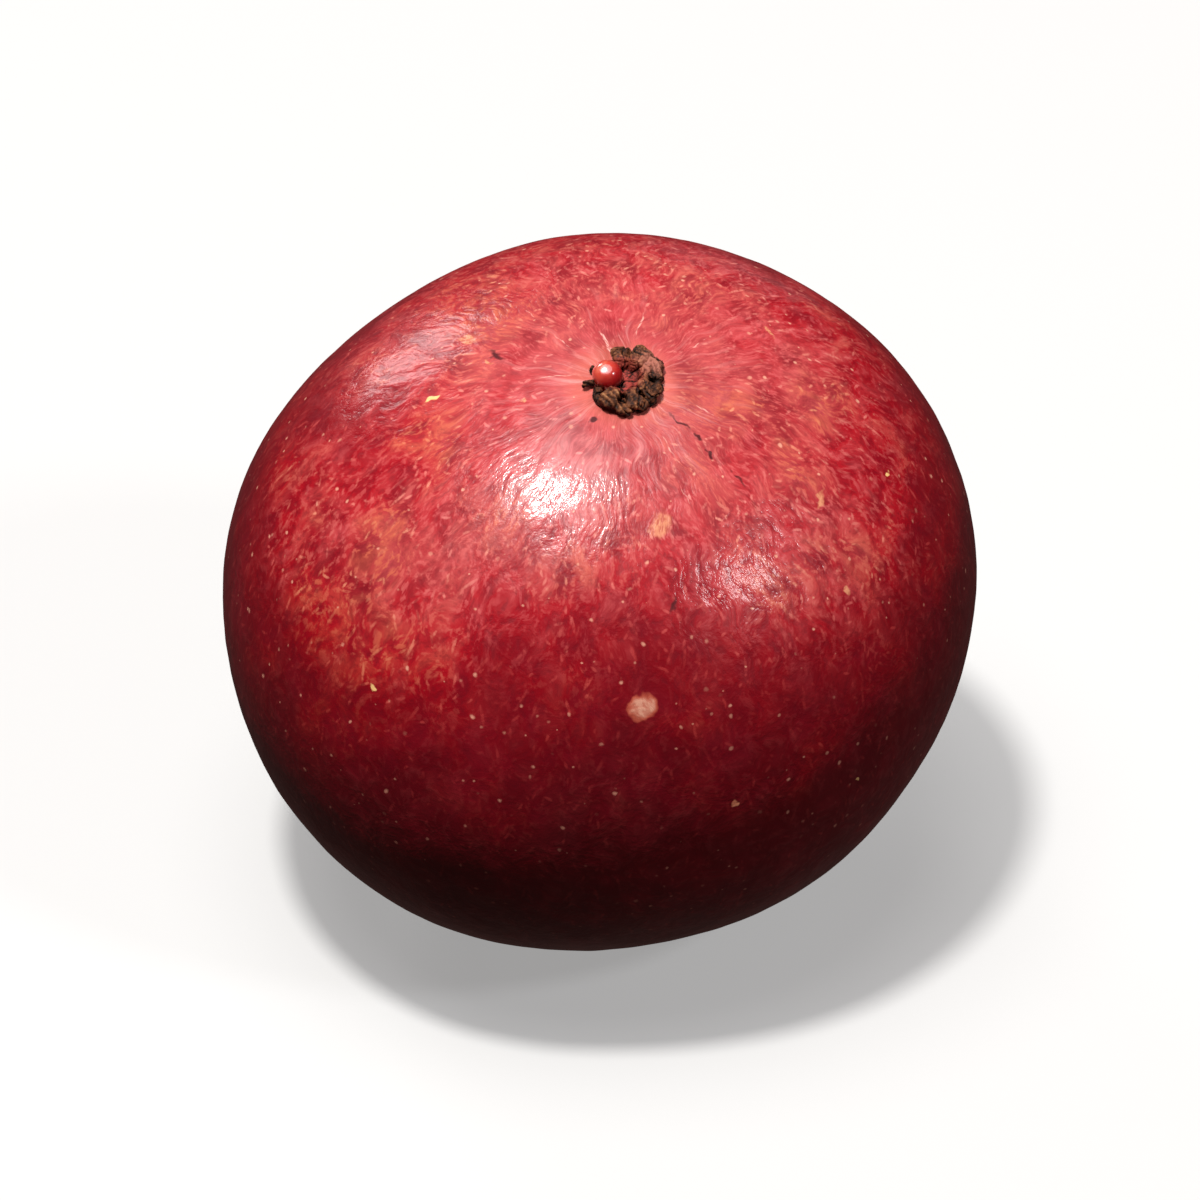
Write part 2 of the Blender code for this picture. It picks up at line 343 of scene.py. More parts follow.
def fine_relief(skin, way, azimuth):
    """Shallow swells all over, one at the pale spot, and creases out from under the crown."""
    lenticel = np.linalg.norm(skin / MM - np.array(photo_place(*LENTICEL_PIXEL)), axis=-1)
    swells = noises_over(way, SWELLS) + LENTICEL_HEIGHT * bump(lenticel, LENTICEL_REACH)
    from_axis = np.hypot(skin[..., 0], skin[..., 1])
    near_crown = bump(from_axis, CREASE_REACH) * (way[..., 2] > 0)
    creases = np.zeros_like(from_axis)
    draw = random.Random(CREASE_SEED)
    for waves in CREASE_WAVES:
        creases = creases + np.cos(waves * azimuth + draw.uniform(0.0, 6.0)) / len(CREASE_WAVES)
    return swells + CREASE_DEPTH * near_crown * creases


def scar_tooth(azimuth):
    wave = np.sin(SCAR_TEETH * azimuth) + np.sin((2 * SCAR_TEETH + 1) * azimuth)
    return 1.0 + SCAR_TEETH_SHARE * wave / 2.0


def scar_ragged(azimuth):
    return 1.0 + SCAR_RAGGED_SHARE * np.sin((SCAR_TEETH - 2) * azimuth + 1.0)


def scar_points(foot, azimuth):
    """Rings from the foot of the torn rim over its crest and down to the floor of the pit."""
    base = -FRUIT_HEIGHT / 2 + STALK_BASIN_DEPTH
    around = np.stack([np.cos(azimuth), np.sin(azimuth)], axis=-1)
    knots = [
        (np.hypot(foot[:, 0], foot[:, 1]), foot[:, 2]),
        (SCAR_CREST_RADIUS * scar_ragged(azimuth), base - SCAR_CREST_HEIGHT * scar_tooth(azimuth)),
        (SCAR_PIT_RADIUS * scar_ragged(azimuth), base + 0.0 * azimuth),
        (SCAR_FLOOR_RADIUS + 0.0 * azimuth, base + SCAR_PIT_DEPTH + 0.0 * azimuth),
        (SCAR_MIDDLE_RADIUS + 0.0 * azimuth, base + SCAR_PIT_DEPTH + 0.0 * azimuth),
    ]
    rings = []
    for i in range(1, SCAR_RINGS + 1):
        along = (len(knots) - 1) * i / SCAR_RINGS
        lower = min(int(along), len(knots) - 2)
        share = along - lower
        eased = share * share * (3.0 - 2.0 * share)
        radius = knots[lower][0] * (1 - share) + knots[lower + 1][0] * share
        height = knots[lower][1] * (1 - eased) + knots[lower + 1][1] * eased
        rings.append(np.concatenate([around * radius[:, None], height[:, None]], axis=-1))
    scar = np.stack(rings)
    fading = np.minimum(1.0, np.arange(1, SCAR_RINGS + 1) / SCAR_FADE_RINGS)[:, None]
    scar[..., 2] += noises_over(scar, SCAR_CRUMBS) * fading
    return scar


def grid_mesh(name, rings):
    """A closed mesh over rings of points, with its two ends closed by fans."""
    count, segments = rings.shape[:2]
    ends = np.stack([rings[0].mean(axis=0), rings[-1].mean(axis=0)])
    points = np.concatenate([rings.reshape(-1, 3), ends])
    ring, place = np.meshgrid(np.arange(count - 1), np.arange(segments), indexing="ij")
    here = ring * segments + place
    beside = ring * segments + (place + 1) % segments
    quads = np.stack([here, here + segments, beside + segments, beside], axis=-1).reshape(-1, 4)
    place = np.arange(segments)
    following = (place + 1) % segments
    first, last = count * segments, count * segments + 1
    top = np.stack([np.full(segments, first), place, following], axis=-1)
    low = (count - 1) * segments
    bottom = np.stack([np.full(segments, last), low + following, low + place], axis=-1)
    mesh = bpy.data.meshes.new(name)
    mesh.from_pydata(points.tolist(), [], quads.tolist() + top.tolist() + bottom.tolist())
    mesh.update()
    mesh.shade_smooth()
    return mesh


def keep_field(mesh, name, values):
    """Store a number or a vector at each point, for the materials."""
    kind, entry = ("FLOAT_VECTOR", "vector") if values.ndim > 1 else ("FLOAT", "value")
    kept = mesh.attributes.new(name, kind, "POINT")
    kept.data.foreach_set(entry, values.astype(np.float32).ravel())


def read_out(items, name, width=1, kind=float):
    """A property of all the items, as an array."""
    values = np.zeros(len(items) * width, kind)
    items.foreach_get(name, values)
    return values.reshape(-1, width) if width > 1 else values


def keep_own_place(mesh, unit=MM):
    """Store each point's place in the fruit's own frame, in millimetres."""
    places = read_out(mesh.vertices, "co", 3) / unit
    keep_field(mesh, "own_place", places)
    return places


def layered_noise(places, per_mm, layers):
    """Noise about 0, of layers that are each twice as fine as the last, and weaker."""
    total = np.zeros(len(places))
    for layer in range(layers):
        offset = Vector((17.0 * layer, 5.0 * layer, 11.0 * layer))
        total = total + LAYER_STRENGTH**layer * noise_over(places, per_mm * 2**layer, offset)
    return total


def bent_places(places):
    """The places pushed about a little, so that the streaks drawn on them wander."""
    noise.seed_set(BEND_SEED)
    bent = np.array([noise.noise_vector(Vector(p) * BEND_PER_MM) for p in places])
    return places + BEND_REACH * bent


def drawn_out(places, radius, stretch):
    """Places at which a noise is drawn out along the meridians."""
    from_axis = np.maximum(np.hypot(places[:, 0], places[:, 1]), AXIS_GAP)
    polar = np.arctan2(from_axis, places[:, 2])
    height = polar * MEAN_RADIUS * stretch
    around = places[:, :2] / from_axis[:, None] * radius
    return np.concatenate([around, height[:, None]], axis=1)


def nearness(places, pixel, radius):
    """From 1 at the place of a pixel of the photograph to 0 at the radius, smoothly."""
    far = np.linalg.norm(places - np.array(photo_place(*pixel)), axis=1)
    share = np.clip(1.0 - far / radius, 0.0, 1.0)
    return share * share * (3.0 - 2.0 * share)


def keep_colour_fields(mesh, places):
    """Store how pale, how orange and how blotched the skin is at each point, with painted shade
    darkening it towards the foot.
    """
    way = places / np.linalg.norm(places, axis=1, keepdims=True)
    bent = bent_places(places)
    clouds = layered_noise(bent, *CLOUDS)
    # Paler towards the crown and darker towards the foot: partly the skin's own colour and partly
    # painted shade.
    tone = way[:, 2] + TONE_BY_DRIFT * layered_noise(places, *DRIFT) + TONE_BY_CLOUDS * clouds
    for pixel, radius, change in PALE_PLACES:
        tone = tone + change * nearness(places, pixel, radius)
    orange = np.clip(0.12 + 0.75 * clouds, 0.0, 0.6)
    for pixel, radius in ORANGE_PLACES:
        orange = orange + nearness(places, pixel, radius) * (0.5 + 0.8 * clouds)
    blotches = layered_noise(bent, *BLOTCHES)
    patches = layered_noise(bent, *PATCHES)
    for name, (radius, stretch) in MERIDIAN_PLACES.items():
        keep_field(mesh, name, drawn_out(bent, radius, stretch))
    keep_field(mesh, "tone", tone)
    keep_field(mesh, "orange", np.clip(orange, 0.0, 1.0))
    keep_field(mesh, "blotch", np.clip((blotches - BLOTCH_FROM) / BLOTCH_SPAN, 0.0, 1.0))
    keep_field(mesh, "patch", patches / np.std(patches))


def unwrap_for_baking(mesh):
    """Lay the skin out in one square without overlaps, as an eight-sided net of equal areas."""
    corners = read_out(mesh.loops, "vertex_index", kind=np.int64)
    centres = read_out(mesh.polygons, "center", 3)
    counts = read_out(mesh.polygons, "loop_total", kind=np.int64)
    quarter_turn = math.pi / 2
    turned = np.arctan2(centres[:, 1], centres[:, 0]) % (2.0 * math.pi)
    quarter = np.repeat(np.floor(turned / quarter_turn), counts)
    way = read_out(mesh.vertices, "co", 3)[corners]
    way = way / np.linalg.norm(way, axis=1, keepdims=True)
    off_middle = np.arctan2(way[:, 1], way[:, 0]) - (quarter + 0.5) * quarter_turn
    off_middle = (off_middle + math.pi) % (2.0 * math.pi) - math.pi
    share = np.where(np.hypot(way[:, 0], way[:, 1]) < 1e-9, 0.5, off_middle / quarter_turn + 0.5)
    reach = np.sqrt(1.0 - np.abs(way[:, 2]))
    upper = way[:, 2] >= 0.0
    u = np.where(upper, reach * (1.0 - share), 1.0 - reach * share)
    v = np.where(upper, reach * share, 1.0 - reach * (1.0 - share))
    cosine = np.cos(quarter * quarter_turn)
    sine = np.sin(quarter * quarter_turn)
    net = np.stack([u * cosine - v * sine, u * sine + v * cosine], axis=1)
    layer = mesh.uv_layers.new(name="OFBake")
    layer.data.foreach_set("uv", (0.5 + 0.5 * BAKE_MARGIN * net).astype(np.float32).ravel())


def set_down_matrix(mesh):
    """Leans the fruit and moves it so that it fills the box of the part's fruit."""
    lean = fruit_lean().to_4x4()
    places = np.array([lean @ v.co for v in mesh.vertices])
    low, high = places.min(axis=0), places.max(axis=0)
    box_low, box_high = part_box("fruit")
    shift = [
        (box_low[0] + box_high[0] - low[0] - high[0]) / 2,
        (box_low[1] + box_high[1] - low[1] - high[1]) / 2,
        box_high[2] - high[2],
    ]
    return Matrix.Translation(shift) @ lean


def flatten_underside(mesh):
    """Press what would reach below the surface up onto it, with a soft edge."""
    for vertex in mesh.vertices:
        lifted = math.hypot(vertex.co.z, UNDERSIDE_SOFTNESS)
        if vertex.co.z < UNDERSIDE_HEIGHT:
            vertex.co.z = (vertex.co.z + lifted) / 2.0


def in_scene(name, data):
    made = bpy.data.objects.new(name, data)
    bpy.context.scene.collection.objects.link(made)
    return made


def new_object(name, mesh, finish, looks_of):
    mesh.materials.append(new_material(finish, looks_of))
    return in_scene(name, mesh)


def mesh_from(bm, name):
    mesh = bpy.data.meshes.new(name)
    bm.to_mesh(mesh)
    bm.free()
    return mesh


def make_fruit():
    azimuth = np.linspace(0.0, 2.0 * math.pi, SKIN_SEGMENTS, endpoint=False)
    skin, way = plain_skin(ring_polars()[:, None], azimuth[None, :])
    skin = skin + outward(skin) * fine_relief(skin, way, azimuth)[..., None]
    rings = np.concatenate([skin, scar_points(skin[-1], azimuth)])
    mesh = grid_mesh("plum_skin", rings)
    keep_colour_fields(mesh, keep_own_place(mesh))
    unwrap_for_baking(mesh)
    placing = set_down_matrix(mesh)
    mesh.transform(placing)
    flatten_underside(mesh)
    fruit = new_object("plum_skin", mesh, "ripe_skin", skin_looks)
    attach(fruit, "root")
    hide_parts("fruit")
    return placing


class Steps:
    """Adds nodes to one tree, so that a material can be written as a list of steps."""

    def __init__(self, tree):
        self.tree = tree

    def put(self, socket, value):
        if isinstance(value, bpy.types.NodeSocket):
            self.tree.links.new(value, socket)
        elif socket.type == "RGBA" and len(value) == 3:
            socket.default_value = (*value, 1.0)
        else:
            socket.default_value = value

    def fill(self, node, values):
        for name, value in values.items():
            self.put(node.inputs[name], value)

    def node(self, kind, settings=None, **inputs):
        made = self.tree.nodes.new(kind)
        for name, value in (settings or {}).items():
            setattr(made, name, value)
        self.fill(made, inputs)
        return made

    def field(self, name, output="Fac"):
        """What the mesh keeps under this name at each of its points."""
        return self.node("ShaderNodeAttribute", {"attribute_name": name}).outputs[output]

    def math(self, operation, *values):
        made = self.node("ShaderNodeMath", {"operation": operation})
        for socket, value in zip(made.inputs, values):
            self.put(socket, value)
        return made.outputs[0]

    def times(self, first, *others):
        """The product, taken from left to right."""
        for other in others:
            first = self.math("MULTIPLY", first, other)
        return first

    def shaken(self, value, noisy, strength):
        """The value pushed up and down by a noise."""
        about_zero = self.math("SUBTRACT", noisy, 0.5)
        return self.math("MULTIPLY_ADD", about_zero, strength, value)

    def vector(self, operation, a, b=None, scale=None):
        made = self.node("ShaderNodeVectorMath", {"operation": operation})
        for key, value in ((0, a), (1, b), ("Scale", scale)):
            if value is not None:
                self.put(made.inputs[key], value)
        return made.outputs["Value" if operation in ("DOT_PRODUCT", "LENGTH") else "Vector"]

    def split(self, vector):
        return self.node("ShaderNodeSeparateXYZ", Vector=vector).outputs

    def off_axis(self, place):
        """How far a place is from the fruit's axis."""
        x, y, _ = self.split(place)
        return self.vector("LENGTH", self.node("ShaderNodeCombineXYZ", X=x, Y=y, Z=0.0).outputs[0])

    def noise(self, place, per_mm, detail=2.0, roughness=0.5, output="Fac"):
        kind = {"Scale": per_mm, "Detail": detail, "Roughness": roughness}
        return self.node("ShaderNodeTexNoise", Vector=place, **kind).outputs[output]

    def range(self, value, low, high, to_low=0.0, to_high=1.0, smooth=True):
        """Maps low to high onto to_low to to_high, and stops at both."""
        made = self.node(
            "ShaderNodeMapRange", {"interpolation_type": "SMOOTHSTEP" if smooth else "LINEAR"}
        )
        for socket, entry in zip(made.inputs, (value, low, high, to_low, to_high)):
            self.put(socket, entry)
        return made.outputs[0]

    def falling(self, value, low, high):
        """From 1 at low to 0 at high."""
        return self.range(value, low, high, 1.0, 0.0)

    def mix(self, share, a, b):
        made = self.node("ShaderNodeMix", {"data_type": "RGBA"})
        for index, value in ((0, share), (6, a), (7, b)):
            self.put(made.inputs[index], value)
        return made.outputs[2]

    def lay(self, below, colour, *shares):
        """A colour laid over what is below it, as strongly as the product of the shares."""
        return self.mix(self.times(*shares), below, colour)

    def ramp(self, value, stops):
        made = self.node("ShaderNodeValToRGB", Fac=value)
        ramp = made.color_ramp
        while len(ramp.elements) < len(stops):
            ramp.elements.new(0.5)
        for element, (position, colour) in zip(ramp.elements, stops):
            element.position = position
            element.color = (*colour, 1.0)
        return made.outputs["Color"]

    def bump(self, height, distance):
        return self.node("ShaderNodeBump", Height=height, Distance=distance).outputs["Normal"]


def new_material(name, looks_of):
    """A material with the looks that a function works out in steps."""
    made = bpy.data.materials.new(name)
    made.use_nodes = True
    s = Steps(made.node_tree)
    s.fill(made.node_tree.nodes["Principled BSDF"], looks_of(s))
    return made


def stroke_group():
    """Short strokes scattered over the skin, each laid roughly along the flow."""
    tree = bpy.data.node_groups.new("strokes", "ShaderNodeTree")
    sockets = (
        ("INPUT", "NodeSocketVector", ("Place", "Flow", "Across", "Normal", "Shift")),
        ("INPUT", "NodeSocketFloat", ("Per mm", "Half length", "Half width", "Turn", "Reach")),
        ("OUTPUT", "NodeSocketFloat", ("Mask", "Chance")),
    )
    for way, kind, names in sockets:
        for name in names:
            tree.interface.new_socket(name, in_out=way, socket_type=kind)
    given = tree.nodes.new("NodeGroupInput").outputs
    s = Steps(tree)
    place = s.vector("ADD", given["Place"], given["Shift"])
    cells = s.node("ShaderNodeTexVoronoi", Vector=place, Scale=given["Per mm"])
    offset = s.vector("SUBTRACT", place, cells.outputs["Position"])
    chances = s.split(cells.outputs["Color"])
    turn = s.times(s.math("SUBTRACT", chances[0], 0.5), given["Turn"])
    flowing = s.vector("DOT_PRODUCT", offset, given["Flow"])
    crossing = s.vector("DOT_PRODUCT", offset, given["Across"])
    cosine = s.math("COSINE", turn)
    sine = s.math("SINE", turn)
    u = s.math("ADD", s.times(flowing, cosine), s.times(crossing, sine))
    v = s.math("SUBTRACT", s.times(crossing, cosine), s.times(flowing, sine))
    size = s.math("MULTIPLY_ADD", chances[1], STROKE_SIZE_SPAN, STROKE_SIZE)
    u = s.math("DIVIDE", u, s.times(given["Half length"], size))
    v = s.math("DIVIDE", v, given["Half width"])
    bend = s.times(s.math("SUBTRACT", chances[1], 0.5), STROKE_BEND)
    v = s.math("MULTIPLY_ADD", s.times(u, u), bend, v)
    apart = s.math("ADD", s.times(u, u), s.times(v, v))
    depth = s.math("ABSOLUTE", s.vector("DOT_PRODUCT", offset, given["Normal"]))
    near = s.falling(s.times(depth, given["Per mm"]), 0.0, given["Reach"])
    out = tree.nodes.new("NodeGroupOutput")
    s.fill(out, {"Mask": s.times(s.falling(apart, 0.05, 1.0), near), "Chance": chances[2]})
    return tree


def photo_place(x, y):
    """Where a pixel of the photograph shows the skin, in the fruit's own frame, in millimetres."""
    right, up, back = camera_axes()
    per_pixel = FRUIT_WIDTH / 2 / PHOTO_HALF_WIDTH
    over = right * ((x - PHOTO_CENTRE[0]) * per_pixel)
    over = over + up * ((PHOTO_CENTRE[1] - y) * per_pixel)
    own = fruit_lean().inverted()
    stretch = Matrix.Diagonal((1.0, 1.0, FRUIT_WIDTH / FRUIT_HEIGHT))
    start = stretch @ own @ (back * CAMERA_DISTANCE)
    heading = stretch @ own @ (over - back * CAMERA_DISTANCE)
    a, b = heading.dot(heading), start.dot(heading)
    radius = FRUIT_WIDTH / 2
    for _ in range(PHOTO_ROUNDS):
        c = start.dot(start) - radius**2
        reach = (-b - math.sqrt(max(0.0, b * b - a * c))) / a
        found = start + heading * reach
        polar, azimuth = found.angle(Vector((0.0, 0.0, 1.0))), math.atan2(found.y, found.x)
        skin, _ = plain_skin(np.array([polar]), np.array([azimuth]))
        radius = (stretch @ Vector(skin[0])).length
    return stretch.inverted() @ found / MM


# Marks that the photograph shows: pixel, half length and half width in millimetres, turn from
# upright in degrees, and strength
TAN_MARKS = [
    ((598, 432), 0.62, 0.4, 20.0, 0.55),
    ((523, 360), 0.38, 0.22, -75.0, 0.85),
    ((531, 369), 0.2, 0.12, -60.0, 0.7),
    ((660, 422), 0.42, 0.14, 12.0, 0.8),
    ((640, 357), 0.34, 0.12, -35.0, 0.7),
    ((627, 540), 0.15, 0.15, 0.0, 0.95),
    ((670, 458), 0.15, 0.14, 0.0, 0.7),
    ((544, 384), 0.18, 0.1, 70.0, 0.6),
]
GOLD_MARKS = [
    ((509, 383), 0.26, 0.1, 75.0, 1.0),
    ((486.5, 495.5), 0.14, 0.11, -30.0, 1.0),
    ((686, 412), 0.11, 0.11, 0.0, 0.9),
    ((674, 531), 0.09, 0.09, 0.0, 0.8),
]
DARK_MARKS = [
    ((606, 392.5), 0.75, 0.085, -57.0, 0.5),
    ((612.5, 398), 0.22, 0.085, -45.0, 0.8),
    ((616.5, 404), 0.26, 0.08, -35.0, 0.8),
    ((628, 414), 0.6, 0.085, -42.0, 0.42),
    ((534, 366), 0.5, 0.14, -60.0, 0.65),
    ((603, 463), 0.4, 0.12, 10.0, 0.45),
    ((572, 391), 0.14, 0.09, 30.0, 0.95),
]
PALE_LINES_AND_GLINT = [
    # The first two are a pale crease beside the crown with a painted highlight along it.
    ((576.3, 360.3), 0.55, 0.05, -31.0, 0.8),
    ((578.6, 364.2), 0.17, 0.08, -35.0, 1.0),
    ((590, 354), 0.95, 0.045, 21.0, 0.4),
    ((557, 374.5), 0.95, 0.045, 86.0, 0.4),
    ((560, 361), 0.8, 0.04, -50.0, 0.3),
    ((612, 362), 0.9, 0.04, 55.0, 0.3),
    ((616, 388), 0.8, 0.045, -62.0, 0.35),
    ((601, 402), 0.9, 0.045, -28.0, 0.4),
    ((607, 420), 0.8, 0.04, -30.0, 0.3),
    ((547, 350), 0.9, 0.04, -55.0, 0.25),
]

# Noises in the skin's material: fineness, layers of detail and roughness
FELT_NOISE = (5.2, 2.0, 0.62)
STREAK_NOISE = (2.4, 1.0, 0.5)
RAY_NOISE = (5.0, 2.0, 0.6)
FRAY_NOISE = (3.4, 1.0, 0.5)
FRAY_REACHES = (0.14, 0.36)

# Strokes: how many per millimetre, half length, half width, turn, reach, shift and strength
STROKE_LAYERS = [
    (1.6, 0.42, 0.07, 1.0, 0.55, (0.0, 0.0, 0.0), 0.85),
    (2.8, 0.2, 0.06, 2.4, 0.6, (7.3, 1.1, 4.2), 0.92),
]
STROKE_SIZE = 0.5
STROKE_SIZE_SPAN = 0.7
STROKE_BEND = 1.2
STROKE_RARITY = 1.8
DOTS_PER_MM = 2.0
DOT_SIZE_SPAN = 0.14
DOT_SIZE = 0.07
SKIN_BUMP = 0.03 * MM

# Colours of the skin: the stops run from its foot to its crown, and the darker maroon towards the
# foot is partly the skin's own colour and partly painted shade
SKIN_AND_SHADE_STOPS = [
    (0.0, (0.075, 0.002, 0.006)),
    (0.37, (0.14, 0.001, 0.006)),
    (0.56, (0.265, 0.001, 0.007)),
    (0.66, (0.385, 0.002, 0.01)),
    (0.75, (0.45, 0.012, 0.02)),
    (0.85, (0.45, 0.045, 0.05)),
    (1.0, (0.52, 0.095, 0.098)),
]
CRIMSON_BLOTCH = (0.21, 0.003, 0.012)
ROSY_FIBRE, ORANGE_FIBRE = (0.64, 0.11, 0.115), (0.64, 0.14, 0.075)
DARK_PATCH = (0.15, 0.002, 0.009)
DARK_FELT = (0.13, 0.002, 0.008)
ROSY_STROKE, ORANGE_STROKE = (0.8, 0.26, 0.23), (0.82, 0.33, 0.17)
SHADE_STROKE = (0.8, 0.085, 0.075)
PALE_RAY = (0.8, 0.36, 0.34)
CROWN_FLUSH = (0.74, 0.19, 0.12)
CREAM_DOT = (0.8, 0.36, 0.25)
# Also the colour of the painted highlight along the crease beside the crown.
PALE_LINE = (0.8, 0.4, 0.34)
DARK_TAN, LIGHT_TAN = (0.5, 0.1, 0.06), (0.72, 0.28, 0.15)
GOLD = (0.9, 0.56, 0.22)
DARK_MARK = (0.085, 0.007, 0.01)
LENTICEL_RIM, LENTICEL_CORE = (0.54, 0.105, 0.06), (0.74, 0.36, 0.25)
SCAR_FLUSH = (0.56, 0.17, 0.055)
CORK_STOPS = [
    (0.3, (0.06, 0.02, 0.01)),
    (0.44, (0.3, 0.11, 0.045)),
    (0.58, (0.6, 0.3, 0.135)),
    (0.75, (0.76, 0.48, 0.26)),
]
CORK_CRACK = (0.03, 0.01, 0.006)
# The pit's near black is partly the scar's own colour and partly painted shade.
PIT_AND_SHADE_STOPS = [
    (0.35, (0.012, 0.005, 0.003)),
    (0.55, (0.055, 0.022, 0.01)),
    (0.75, (0.16, 0.07, 0.03)),
]

# Colours of the dried crown and of the bead
CRUST_STOPS = [
    (0.1, (0.004, 0.0018, 0.001)),
    (0.34, (0.024, 0.007, 0.003)),
    (0.54, (0.085, 0.024, 0.009)),
    (0.74, (0.21, 0.072, 0.028)),
    (0.98, (0.45, 0.21, 0.09)),
]
RED_CRUST = (0.44, 0.055, 0.045)
ROSY_CRUST = (0.4, 0.13, 0.1)
# The bead's colours run from painted shade on its far side to a painted highlight on its upper
# left.
BEAD_LIT_AND_SHADED_STOPS = [
    (0.0, (0.1, 0.002, 0.003)),
    (0.5, (0.38, 0.008, 0.01)),
    (0.8, (0.62, 0.07, 0.045)),
    (1.0, (0.8, 0.3, 0.2)),
]
# The way towards the light, along which the bead is painted paler.
BEAD_LIGHT_WAY = (-0.8, 0.1, 1.0)
FLOOR_COLOUR = (0.42, 0.418, 0.415)
FLOOR_GLOW = (1.0, 0.995, 0.99)


class SkinFields:
    """What the skin's looks are worked out from at each of its places."""

    def __init__(self, s):
        self.place = s.field("own_place", "Vector")
        self.from_axis = s.off_axis(self.place)
        self.normal = s.vector("NORMALIZE", self.place)
        self.upward = s.split(self.normal)[2]
        around = s.vector("CROSS_PRODUCT", (0.0, 0.0, 1.0), self.normal)
        self.across = s.vector("NORMALIZE", around)
        self.flow = s.vector("CROSS_PRODUCT", self.normal, self.across)
        self.tone = s.field("tone")
        self.orange = s.field("orange")
        self.patches = s.field("patch")
        self.felt = s.noise(s.field("felt_place", "Vector"), *FELT_NOISE)
        self.streaks = s.noise(s.field("streak_place", "Vector"), *STREAK_NOISE)
        self.rays = s.noise(s.field("ray_place", "Vector"), *RAY_NOISE)
        self.broken = s.range(self.felt, 0.38, 0.55, 0.25, 1.0)
        push = s.noise(self.place, *FRAY_NOISE, output="Color")
        push = s.vector("SUBTRACT", push, (0.5, 0.5, 0.5))
        pushes = [s.vector("SCALE", push, scale=reach) for reach in FRAY_REACHES]
        self.bent, self.frayed = (s.vector("ADD", self.place, p) for p in pushes)


def marks_mask(s, place, marks):
    """Where any of the marks lies: each is an ellipse, fainter the less strongly it shows."""
    nearest = None
    for (x, y), half_length, half_width, turn, strength in marks:
        centre = photo_place(x, y)
        turn = math.radians(turn)
        along = (photo_place(x + math.sin(turn), y - math.cos(turn)) - centre).normalized()
        longer = math.sqrt(max(0.0, 1.0 / half_width**2 - 1.0 / half_length**2))
        offset = s.vector("SUBTRACT", place, centre)
        squared = s.vector("DOT_PRODUCT", offset, offset)
        round_far = s.math("MULTIPLY_ADD", squared, 1.0 / half_width**2, 1.0 - strength)
        lengthwise = s.vector("DOT_PRODUCT", offset, along * longer)
        far = s.math("SUBTRACT", round_far, s.times(lengthwise, lengthwise))
        nearest = far if nearest is None else s.math("MINIMUM", nearest, far)
    return s.falling(nearest, 0.45, 1.25)


def broad_colour_and_shade(s, skin):
    """From rosy red at the crown to maroon below, the maroon partly the skin's own colour and
    partly painted shade, blotched with crimson.
    """
    base = s.ramp(s.range(skin.tone, -0.4, 1.2, smooth=False), SKIN_AND_SHADE_STOPS)
    return s.lay(base, CRIMSON_BLOTCH, s.field("blotch"), 0.5)


def add_fibres(s, skin, colour):
    """Paler and darker fibres under the skin, and a fine felt over them."""
    amount = s.range(skin.tone, 0.35, 1.0, 0.08, 1.0)
    calm = s.range(skin.from_axis, 1.0, 6.0, 0.55, 1.0)
    pale_power = s.times(amount, calm)
    dark_power = s.times(s.range(skin.tone, 0.75, 1.15, 0.36, 0.24), calm)
    fibre = s.mix(skin.orange, ROSY_FIBRE, ORANGE_FIBRE)
    colour = s.lay(colour, fibre, s.range(skin.patches, -0.3, 1.5), amount, 0.26)
    colour = s.lay(colour, fibre, s.range(skin.streaks, 0.48, 0.68), pale_power, 0.42)
    colour = s.lay(colour, DARK_PATCH, s.falling(skin.patches, -1.5, 0.2), dark_power)
    colour = s.lay(colour, fibre, s.range(skin.felt, 0.5, 0.66), pale_power, 0.7)
    return s.lay(colour, DARK_FELT, s.falling(skin.felt, 0.32, 0.49), dark_power)


def add_strokes(s, skin, colour):
    """Clearer strokes over the felt."""
    bright = s.mix(skin.orange, ROSY_STROKE, ORANGE_STROKE)
    # Towards the foot the strokes turn a deeper red with the painted shade there.
    bright = s.mix(s.range(skin.tone, 0.3, 0.9), SHADE_STROKE, bright)
    group = stroke_group()
    strokes = None
    for *shape, shift, strength in STROKE_LAYERS:
        made = s.node("ShaderNodeGroup", {"node_tree": group})
        values = (skin.place, skin.flow, skin.across, skin.normal, shift, *shape)
        for socket, value in zip(made.inputs, values):
            s.put(socket, value)
        chance = s.math("POWER", made.outputs["Chance"], STROKE_RARITY)
        share = s.times(made.outputs["Mask"], chance, skin.broken, strength)
        strokes = share if strokes is None else s.math("MAXIMUM", strokes, share)
    return s.lay(colour, bright, strokes, s.range(skin.tone, 0.2, 0.95, 0.2, 0.9))


def add_rays(s, skin, colour):
    """Thin pale lines out from under the crown, and a warm flush close round it."""
    near_crown = s.times(s.falling(skin.from_axis, 1.2, 5.5), s.range(skin.upward, 0.0, 0.1))
    colour = s.lay(colour, PALE_RAY, s.range(skin.rays, 0.54, 0.7), near_crown, 0.32)
    return s.lay(colour, CROWN_FLUSH, s.range(skin.from_axis, 1.1, 2.1, 0.38, 0.0), near_crown)


def add_dots(s, skin, colour):
    """Small cream dots."""
    cells = s.node("ShaderNodeTexVoronoi", Vector=skin.bent, Scale=DOTS_PER_MM)
    chances = s.split(cells.outputs["Color"])
    size = s.math("MULTIPLY_ADD", chances[0], DOT_SIZE_SPAN, DOT_SIZE)
    dot = s.falling(s.math("DIVIDE", cells.outputs["Distance"], size), 0.3, 1.0)
    clear = s.range(skin.tone, -0.3, 0.8, 0.45, 0.85)
    return s.lay(colour, CREAM_DOT, dot, s.range(chances[1], 0.1, 0.75), clear)


